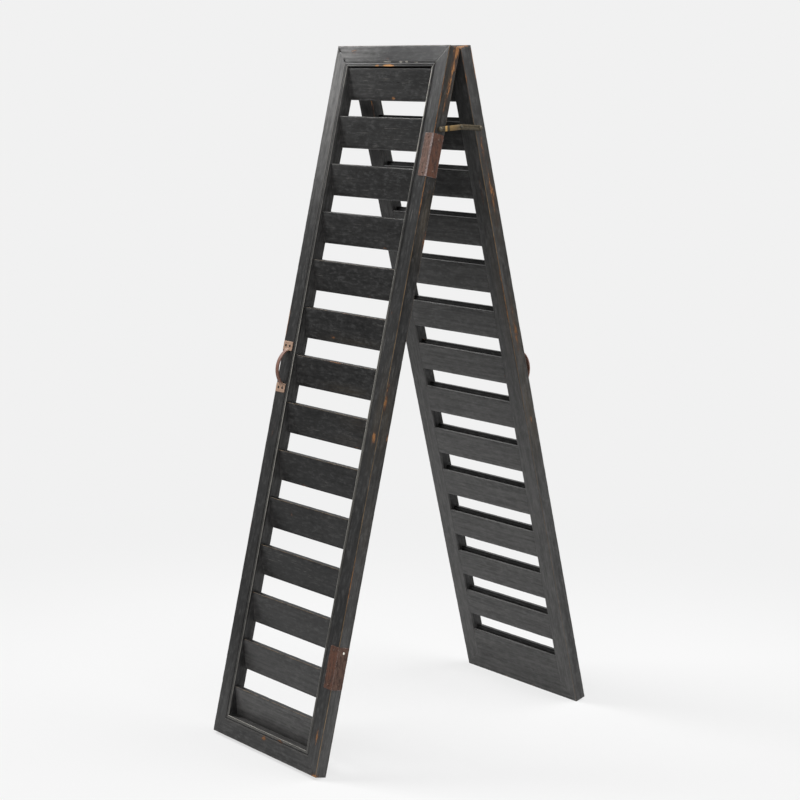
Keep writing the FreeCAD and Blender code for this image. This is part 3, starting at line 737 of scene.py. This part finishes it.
def angle_plate(side, bottom):
    """One bent plate as a loft up the stile, its outline wandering along its edges."""
    seed = Vector((bottom, 3.0 if side == "front" else 7.0, 0.0))
    rings = []
    for rise in np.linspace(0, plate_length, int(plate_length / plate_step) + 1):
        end = min(rise, plate_length - rise)
        cut = plate_corner - math.sqrt(max(0, plate_corner ** 2 - max(0, plate_corner - end) ** 2))
        face = plate_face_leaf - cut + 0.5 * noise.noise(seed + Vector((rise / 14, 0, 0)))
        flank = plate_side_leaf - cut + 0.5 * noise.noise(seed + Vector((rise / 11, 5, 0)))
        shares = np.linspace(0, 1, 13)
        outline = [(-s * face, -plate_thickness) for s in shares[::-1]]
        outline += [(plate_thickness * math.sin(a), -plate_thickness * math.cos(a))
                    for a in np.radians((22, 45, 68))]
        outline += [(plate_thickness, s * flank) for s in shares]
        outline += [(0, s * flank) for s in shares[::-1]] + [(-s * face, 0) for s in shares[1:]]
        ring = []
        for x, depth in outline:
            spot = seed + Vector((x / 9, depth / 9, rise / 9))
            dish = 0.28 * (noise.noise(spot) + 0.4 * noise.noise(spot * 3.1))
            ragged = 0.45 * noise.noise(seed + Vector((x / 6, depth / 6, 40))) if end < 1 else 0
            across = half_width + x + (dish if x > 0 else 0)
            behind = depth - (dish if depth < 0 and x <= 0 else 0)
            ring.append((across, behind, bottom + rise + ragged))
        rings.append(stood(ring, side))
    return loft("plate", rings)


def joined(name, pieces):
    """Several meshes as one piece."""
    whole = bmesh.new()
    for piece in pieces:
        whole.from_mesh(piece.data)
        bpy.data.objects.remove(piece)
    made = placed(name)
    whole.to_mesh(made.data)
    whole.free()
    return made


def rusty_metal(name, dark, body, fresh, bright, worn_edge, scale, rough, bump_depth, metallic):
    """Old iron under an even skin of rust: matt and mottled at a few millimetres, drawn out
    downwards where wet has run, darker in the pits and pale along rubbed edges. The marks
    tone and shade say where the rust is fresher and redder, and where it is darker."""
    material, add = shader_tree("materials", name)
    run = add("Mapping", add("TexCoord", out="Object"), Scale=(1 / scale, 1 / scale, 0.3 / scale))
    blots = add("TexNoise", run, Scale=1.0, Detail=5.0, Roughness=0.65)
    grit = add("TexNoise", run, Scale=5.0, Detail=4.0, Roughness=0.7)
    rust = coats(add, body, ("tone", fresh))
    colour = coats(add, dark, (add("MapRange", blots, 0.36, 0.56), rust),
                   (add("MapRange", grit, 0.48, 0.7, 0.0, 0.6), bright), ("shade", dark),
                   (add("MapRange", add("*", "rubbed", grit), 0.25, 0.5, 0.0, 0.8), worn_edge))
    surface(add, colour, rough, add("+", blots, grit), 0.6, bump_depth, Metallic=metallic,
            Specular_IOR_Level=0.3)
    return material


plate_rust = rusty_metal("Rusty sheet iron", "#2c1a14", "#5e463d", "#7a4529", "#857061",
                         "#b5a9a8", 8 * mm, 0.66, 0.25 * mm, 0.0)

for side in half_turn:
    plates = joined(side + "_angle_plates_hammered",
                    [angle_plate(side, bottom) for bottom in plate_bottoms])
    settled(grow(plates, hand_wear, Arris_Angle=0.5, Knock_Depth=0.2 * mm, Face_Wave=0.1 * mm,
                 Wave_Length=15 * mm))
    across, depth, rise = places_of(plates, side)
    upper, aside = rise > panel_height / 2, across > half_width + 1
    mark(plates, "tone", np.where(upper, np.where(aside, 0.7, 0.15), np.where(aside, 0.05, 0.55)))
    mark(plates, "shade", np.where(upper, np.where(aside, 0.6, 0.0), np.where(aside, 0.2, 0.45)))
    rubbed = np.zeros(len(across), np.float32)
    plates.data.attributes["rubbed"].data.foreach_get("value", rubbed)
    bend = np.where(upper, 0.8, 0.55) * ((across > half_width - 0.2) & (depth < -0.2))
    streak = 0.6 * (upper & (across > half_width - 7) & (across <= half_width) & (depth < -1))
    mark(plates, "rubbed", np.maximum(rubbed, np.maximum(bend, streak)))
    dressed(plates, plate_rust, "rusty_steel", side + "_panel", side + "_angle_plates")


# Nails in the angle plates
# Each leaf of a plate is held by two clout nails with low round heads, hammered a little
# out of true. Most are rusty, and the one at the top of the lower front plate is bright.

face_nail_inset = 9.0
side_nail_inset = 14.0


def circle(radius, count):
    """Points round a circle."""
    return [(radius * math.cos(a), radius * math.sin(a))
            for a in np.linspace(0, 2 * math.pi, count, endpoint=False)]


def lathe(name, outline, around):
    """A turned shape, its (radius, height) outline in mm spun about +Z."""
    return loft(name, [[(x, y, height * mm) for x, y in circle(radius * mm, around)]
                       for radius, height in outline])


def fastener_tree():
    """Sets a fastener on each point of a mesh, its head along the point's facing, turned
    about that by its own angle, and passes on how bright each one is."""
    tree, add, given = geometry_tree("Fasteners", Fastener="Object", Least_Size="Float")
    facing = add("InputNamedAttribute", "facing", data_type="FLOAT_VECTOR")
    aim = add("AlignRotationToVector", Vector=facing, axis="Z")
    turn = add("CombineXYZ", Z=add("InputNamedAttribute", "slot_turn", data_type="FLOAT"))
    size = add("RandomValue", None, None, given["Least Size"], 1.0, Seed=3, out=1)
    fastener = add("ObjectInfo", given["Fastener"], out="Geometry")
    twisted = add("RotateRotation", aim, turn, rotation_space="LOCAL")
    driven_in = add("InstanceOnPoints", given["Geometry"], Instance=fastener, Rotation=twisted,
                    Scale=size)
    add("NodeGroupOutput", add("RealizeInstances", driven_in))
    return tree


fasteners = fastener_tree()


def driven(side, name, fastener, rows, metal, node_name, slot, spread):
    """One panel's fasteners of a kind. rows hold (across, depth, rise), the way the head
    faces on the panel, the turn of its slot in degrees and how bright it is."""
    places = stood([row[0] for row in rows], side)
    tips = stood([np.add(row[0], row[1]) for row in rows], side)
    piece = placed(side + name, places.tolist())
    layer = piece.data.attributes.new("facing", "FLOAT_VECTOR", "POINT")
    layer.data.foreach_set("vector", ((tips - places) / mm).astype(np.float32).ravel())
    mark(piece, "slot_turn", [math.radians(row[2]) for row in rows])
    mark(piece, "bright", [row[3] for row in rows])
    settled(grow(piece, fasteners, Fastener=fastener, Least_Size=1 - spread), 35)
    dressed(piece, metal, slot, side + "_panel", side + node_name)


def old_steel(name, dull, dark, bright, metallic):
    """Plain steel gone dull: brown-grey with darker blots, and clean metal where the piece's
    bright mark says that it is rubbed."""
    material, add = shader_tree("materials", name)
    blots = add("TexNoise", add("TexCoord", out="Object"), Scale=1 / (2.5 * mm), Detail=4.0,
                Roughness=0.6)
    colour = coats(add, dark, (add("MapRange", blots, 0.38, 0.62), dull), ("bright", bright))
    surface(add, colour, add("MapRange", "bright", 0.0, 1.0, 0.5, 0.25), blots, 0.4, 0.1 * mm,
            Metallic=metallic)
    return material


nail_steel = old_steel("Rusty nail heads", "#6b5347", "#38251d", "#f2ece0", 0.5)
nail = lathe("nail head", [(1.2, -3.0), (1.2, 0.0), (3.0, 0.0), (3.05, 0.25), (2.8, 0.6),
                           (2.2, 0.9), (1.3, 1.12), (0.4, 1.2)], 20)
grow(nail, hand_wear, Arris_Angle=2.0, Face_Wave=0.5 * mm, Wave_Length=3 * mm, Knock_Depth=0.0)

for side in half_turn:
    nail_rows = []
    on_face = (half_width - plate_face_leaf / 2, -plate_thickness)
    on_side = (half_width + plate_thickness, panel_thickness / 2)
    for bottom in plate_bottoms:
        top = bottom + plate_length
        shine = 1.0 if side == "front" and bottom == plate_bottoms[1] else 0.0
        for rise in (bottom + face_nail_inset, top - face_nail_inset):
            nail_rows.append(((*on_face, rise), (0, -1, 0), rise, 0.0))
        nail_rows.append(((*on_side, bottom + side_nail_inset), (1, 0, 0), 20, 0.0))
        nail_rows.append(((*on_side, top - side_nail_inset), (1, 0, 0), 70, shine))
    driven(side, "_plate_nails", nail, nail_rows, nail_steel, "_angle_plate_nails",
           "nail_steel", 0.12)


# Handles
# A forged iron bow handle is screwed to the middle of one stile of each panel. Its grip is
# a flat strap bent to an arc, which thickens where it grows out of two square plates. The
# buff paint on it has mostly gone from the grip, which hands keep brown and smooth.

handle_height = 968.5
handle_length = 134.0
handle_plate_width = 38.0
handle_plate_height = 24.0
handle_plate_thickness = 2.0
handle_bow = 23.0
handle_strap_width = 12.0
handle_strap_thickness = 4.0
handle_across = groove_start / 2 - half_width
handle_screw_spacing = 16.5
handle_plate_rises = [handle_height + sign * (handle_length - handle_plate_height) / 2
                      for sign in (-1, 1)]
screw_places = [handle_across + sign * handle_screw_spacing / 2 for sign in (-1, 1)]
handle_detail = 0.55 * mm
screw_sink = 0.05


def rounded_box(half_across, half_along, radius):
    """Points round a rectangle with rounded corners."""
    points = []
    for turn, x, y in ((0, 1, 1), (90, -1, 1), (180, -1, -1), (270, 1, -1)):
        for angle in np.radians(turn + np.linspace(0, 90, 4)):
            points.append((x * (half_across - radius) + radius * math.cos(angle),
                           y * (half_along - radius) + radius * math.sin(angle)))
    return points


def handle_grip(side):
    """The bent strap, with hammered faces and thick roots."""
    chord = handle_length / 2 - handle_plate_height + handle_plate_thickness
    sagitta = handle_bow - handle_plate_thickness / 2
    radius = (chord ** 2 + sagitta ** 2) / (2 * sagitta)
    reach = math.asin(chord / radius)
    rings = []
    for angle in np.linspace(-reach, reach, 61):
        root = max(0, abs(angle) / reach - 0.78) / 0.22
        wide = handle_strap_width / 2 * (1 + 0.3 * root ** 2)
        thick = handle_strap_thickness / 2 * (1 + 0.35 * root ** 2)
        hammer = 0.2 * noise.noise(Vector((angle * 14, 2 if side == "front" else 1, 0)))
        rings.append(stood([
            (handle_across + across, radius - handle_bow - (radius + out) * math.cos(angle),
             handle_height + (radius + out) * math.sin(angle))
            for across, out in rounded_box(wide + hammer, thick - hammer / 2, 1.5)], side))
    return loft("grip", rings)


def handle_plate(side, rise):
    """A square plate with its outer arrises eased."""
    return loft("plate", [
        stood([(handle_across + x, depth, rise + y) for x, y in rounded_box(
            handle_plate_width / 2 - inset, handle_plate_height / 2 - inset, 1.8)], side)
        for depth, inset in ((0, 0), (-1.3, 0), (-1.75, 0.2), (-2.0, 0.7))])


def countersinks(side):
    """The four conical seats for the screws, a little wider than their heads."""
    seats = []
    for rise in handle_plate_rises:
        for x in screw_places:
            seats.append(loft("seat", [
                stood([(x + a, depth, rise + b) for a, b in circle(radius, 24)], side)
                for depth, radius in ((-3.0, 4.6), (-1.9, 3.7), (0.6, 1.9))]))
    return joined("seats", seats)


def worn_buff_paint(name):
    """Old buff oil paint over rusty iron: matt, thin and dirty on the plates, worn to red-brown
    rust on the bow, with an orange bloom at its edges."""
    material, add = shader_tree("materials", name)
    place = add("TexCoord", out="Object")
    blots = add("TexNoise", place, Scale=1 / (7 * mm), Detail=5.0, Roughness=0.65)
    grit = add("TexNoise", place, Scale=1 / (1.2 * mm), Detail=3.0)
    rust_share = add("MapRange", add("+", blots, "grip"), 0.56, 0.76)
    bloom = add("MapRange", add("*", "rubbed", blots), 0.2, 0.6)
    colour = coats(add, coats(add, "#876a59", (grit, "#b4967f")),
                   (rust_share, coats(add, "#5c3c31", (grit, "#8a6355"))), (bloom, "#9a5a3a"))
    surface(add, colour, 0.58, add("-", blots, rust_share), 0.5, 0.2 * mm)
    return material


buff_paint = worn_buff_paint("Worn buff paint on iron")

for side in half_turn:
    forged = joined(side + "_handle_forged",
                    [handle_grip(side)] + [handle_plate(side, rise) for rise in handle_plate_rises])
    seats = countersinks(side)
    changed(forged, "REMESH", mode="VOXEL", voxel_size=handle_detail)
    changed(forged, "SMOOTH", iterations=4, factor=0.5)
    changed(forged, "BOOLEAN", object=seats, solver="EXACT")
    settled(grow(forged, hand_wear, Arris_Angle=0.35, Knock_Depth=0.15 * mm, Knock_Length=9 * mm,
                 Chip_Size=4 * mm, Face_Wave=0.35 * mm, Wave_Length=8 * mm), 50)
    bpy.data.objects.remove(seats)
    lifted = -places_of(forged, side)[1]
    mark(forged, "grip", np.clip((lifted - 3) / 6, 0, 1) * 0.32)
    dressed(forged, buff_paint, "worn_iron", side + "_panel", side + "_handle")


# Handle screws
# Two slotted countersunk screws hold each handle plate. They are steel gone nearly black,
# sunk flush in their seats, each slot left where the screw came tight.

def slotted_screw(name, outline, slot_depth, top):
    """A turned screw head with a slot 0.9 mm wide sawn across it."""
    head = lathe(name, outline, 32)
    blade = bmesh.new()
    bmesh.ops.create_cube(blade, size=1.0)
    bmesh.ops.scale(blade, vec=(20 * mm, 0.9 * mm, 2 * slot_depth * mm), verts=blade.verts)
    bmesh.ops.translate(blade, vec=(0, 0, top * mm), verts=blade.verts)
    saw = placed("saw")
    blade.to_mesh(saw.data)
    blade.free()
    settled(changed(head, "BOOLEAN", object=saw, solver="EXACT"), 35)
    bpy.data.objects.remove(saw)
    return head


dark_steel = old_steel("Blackened screw steel", "#2c2620", "#15110e", "#8a8378", 0.6)
flush_screw = slotted_screw("flush screw", [
    (1.7, -6.0), (1.7, -1.9), (3.35, -0.12), (3.3, 0.0), (2.2, 0.08), (0.6, 0.12)], 0.8, 0.12)

for side in half_turn:
    screw_rows = [((x, screw_sink - handle_plate_thickness, rise), (0, -1, 0), turn, 0.0)
                  for rise, turns in zip(handle_plate_rises, ((-15, 65), (40, 120)))
                  for x, turn in zip(screw_places, turns)]
    driven(side, "_handle_screws_slotted", flush_screw, screw_rows, dark_steel,
           "_handle_screws", "dark_screws", 0.02)


# Butt hinges
# Two steel butt hinges join the inner top edges of the panels. Their leaves are let in
# flush, their knuckles turn on a pin with upset ends, and old oil and rust have dulled them.

hinge_screw_drop = 16.0
hinge_places = (-130.0, 130.0)
hinge_screw_spacing = 21.76


def eased_copy(name, node_name, ease):
    """A merged copy of a solid with its arrises eased."""
    shape = bmesh.new()
    shape.from_mesh(frame["nodes"][node_name].data)
    bmesh.ops.remove_doubles(shape, verts=shape.verts, dist=0.002 * mm)
    bmesh.ops.dissolve_limit(shape, angle_limit=math.radians(2), verts=shape.verts,
                             edges=shape.edges)
    piece = placed(name)
    shape.to_mesh(piece.data)
    shape.free()
    return changed(piece, "BEVEL", width=ease * mm, segments=2, limit_method="ANGLE",
                   angle_limit=math.radians(50), use_clamp_overlap=True)


hinge_steel = rusty_metal("Oiled hinge steel", "#2e231d", "#54463d", "#54463d", "#7d7268",
                          "#a79c8f", 6 * mm, 0.48, 0.08 * mm, 0.65)

for node_name, body in (("front_hinge_leaves", "front_panel"), ("rear_hinge_leaves", "rear_panel"),
                        ("hinge_pins", "front_panel")):
    dressed(settled(eased_copy(node_name + "_eased", node_name, 0.25), 35), hinge_steel,
            "hinge_steel", body, node_name)

screw_steel = old_steel("Dull screw steel", "#5b5342", "#1e1a16", "#a39a8c", 0.6)

for side in half_turn:
    screw_rows = [((centre + (index - 1) * hinge_screw_spacing, panel_thickness - screw_sink,
                    panel_height - hinge_screw_drop), (0, 1, 0), 35 * index + centre / 9, 0.0)
                  for centre in hinge_places for index in range(3)]
    driven(side, "_hinge_screws_slotted", flush_screw, screw_rows, screw_steel,
           "_hinge_screws", "screw_steel", 0.02)


# Folding stays
# A brass stay on each side stops the stand from opening further: two flat round-ended
# links, one of them stepped so that it laps over the other, on a rivet in the middle. The
# brass is dull and olive, bright only on the step, the edges and the rivet.

def tarnished_brass(name):
    """Rolled brass strip, tarnished olive brown, with clean yellow metal on its worn edges, and a
    band of it across each front link where it rubs on the back arris of its stile, which is also a
    painted highlight on the link's step there. The drawn lines along its faces are a fifth of a
    millimetre apart, and three times that here so that they show."""
    rub_and_shine_place, rub_and_shine_width = -47 * mm, 4.5 * mm
    material, add = shader_tree("materials", name)
    place = add("TexCoord", out="Object")
    drawn = add("Mapping", place, Scale=(1 / (0.6 * mm), 1 / (25 * mm), 1 / (0.6 * mm)))
    lines = add("TexNoise", drawn, Scale=1.0, Detail=2.0)
    blots = add("TexNoise", place, Scale=1 / (6 * mm), Detail=4.0, Roughness=0.6)
    worn = add("MapRange", "rubbed", 0.3, 1.0, 0.0, 0.45)
    along = add("SeparateXYZ", place, out="Y")
    apart = add("abs", add("-", along, rub_and_shine_place))
    # Worn metal and a painted highlight on the step, across each front link.
    rub_and_shine_band = add("MapRange", apart, rub_and_shine_width, 0.4 * rub_and_shine_width, 0.0, 0.8)
    colour = coats(add, "#2c281e", (add("MapRange", blots, 0.35, 0.65), "#443e31"),
                   (add("max", worn, rub_and_shine_band), "#c09a5c"))
    surface(add, colour, add("MapRange", lines, 0.3, 0.7, 0.5, 0.66), lines, 0.25, 0.05 * mm,
            Metallic=0.45)
    return material


brass = tarnished_brass("Tarnished brass")

stay_bodies = {
    "stay_front_link_right": "stay_front_right", "stay_rivet_right": "stay_front_right",
    "stay_rear_link_right": "stay_rear_right", "stay_front_link_left": "stay_front_left",
    "stay_rear_link_left": "stay_rear_left", "stay_rivet_left": "stay_rear_left"}
for node_name, body in stay_bodies.items():
    link = eased_copy(node_name + "_brass", node_name, 0.35)
    settled(grow(link, hand_wear, Arris_Angle=0.5, Knock_Depth=0.0, Face_Wave=0.0), 35)
    dressed(link, brass, "brass", body, node_name)


# Stay screws
# Each link turns on a round-headed steel screw in the side of its stile, left just loose
# enough for the link to swing.

stay_drop = 203.5
stay_seat = 2.85
round_screw = slotted_screw("round screw", [
    (2.35, -8.0), (2.35, 0.0), (5.1, 0.0), (5.2, 0.35), (4.9, 1.1), (4.1, 1.8), (2.8, 2.35),
    (1.2, 2.58)], 1.0, 2.6)

for side in half_turn:
    screw_rows = [((sign * (half_width + stay_seat), panel_thickness / 2, panel_height - stay_drop),
                   (sign, 0, 0), 35 + 50 * sign, 0.12) for sign in (-1, 1)]
    driven(side, "_stay_screws_slotted", round_screw, screw_rows, screw_steel,
           "_stay_screws", "screw_steel", 0.0)

for source in (nail, flush_screw, round_screw):
    bpy.data.objects.remove(source)


# Studio
# The stand is on a white paper floor in a pale room. One large soft light is high on the
# left of the front panel, where the stiles' shadows on the slats show it to be, and the
# camera has the photograph's own place, angle and lens.

def aimed(name, data, azimuth, elevation, distance, target, roll=0.0):
    """A camera or a light, placed round the stand by its angles and aimed at a point."""
    made = bpy.data.objects.new(name, data)
    made.matrix_world = (
        Matrix.Translation(target) @ Matrix.Rotation(math.radians(azimuth), 4, "Z")
        @ Matrix.Rotation(math.radians(90 - elevation), 4, "X")
        @ Matrix.Rotation(math.radians(roll), 4, "Z") @ Matrix.Translation((0, 0, distance)))
    bpy.context.scene.collection.objects.link(made)
    return made


lens = bpy.data.cameras.new("Camera")
lens.lens = 85.232
lens.sensor_width = 36.0
bpy.context.scene.camera = aimed(
    "Camera", lens, azimuth=50.2082, elevation=10.2274, distance=4.9411,
    target=(-0.01246, 0.0, 0.85839), roll=-0.1204)

for name, azimuth, elevation, distance, size, power, target in (
        ("Key", -55, 47, 2.8, 1.2, 80, (0, 0, 1.1)),
        ("Overhead", 140, 62, 2.7, 2.4, 68, (0.4, 0.1, 0.5)),
        ("Fill", 42, 12, 3.4, 2.4, 22, (0, 0, 0.9))):
    lamp = bpy.data.lights.new(name, "AREA")
    lamp.shape = "SQUARE"
    lamp.size = size
    lamp.energy = power
    aimed(name, lamp, azimuth, elevation, distance, target)

bpy.context.scene.world, add = shader_tree("worlds", "Room")
rays = add("LightPath").node.outputs
sharp = add("max", rays["Is Glossy Ray"], rays["Is Transmission Ray"])
lit = add("Background", (1, 1, 1, 1), 0.16)
seen = add("Background", "#f1f1f1", 1.0)
add("OutputWorld", add("MixShader", add("max", rays["Is Camera Ray"], sharp), lit, seen))

floor = placed("Floor")
disc = bmesh.new()
bmesh.ops.create_circle(disc, cap_ends=True, segments=96, radius=12.0)
disc.to_mesh(floor.data)
disc.free()
paper, add = shader_tree("materials", "White paper floor")
away = add("VectorMath", add("TexCoord", out="Object"), operation="LENGTH", out="Value")
fade = add("MapRange", away, 0.9, 2.6, interpolation_type="SMOOTHSTEP")
far = add("*", add("MapRange", fade, 0.0, 1.0, 0.7), add("LightPath", out="Is Camera Ray"))
glow = add("Emission", coats(add, "#f9f9f9", (fade, "#f1f1f1")), 1.0)
add("OutputMaterial", add("MixShader", far, add("BsdfDiffuse", "#f0f0f0"), glow))
floor.data.materials.append(paper)

bpy.context.scene.view_settings.view_transform = "Standard"
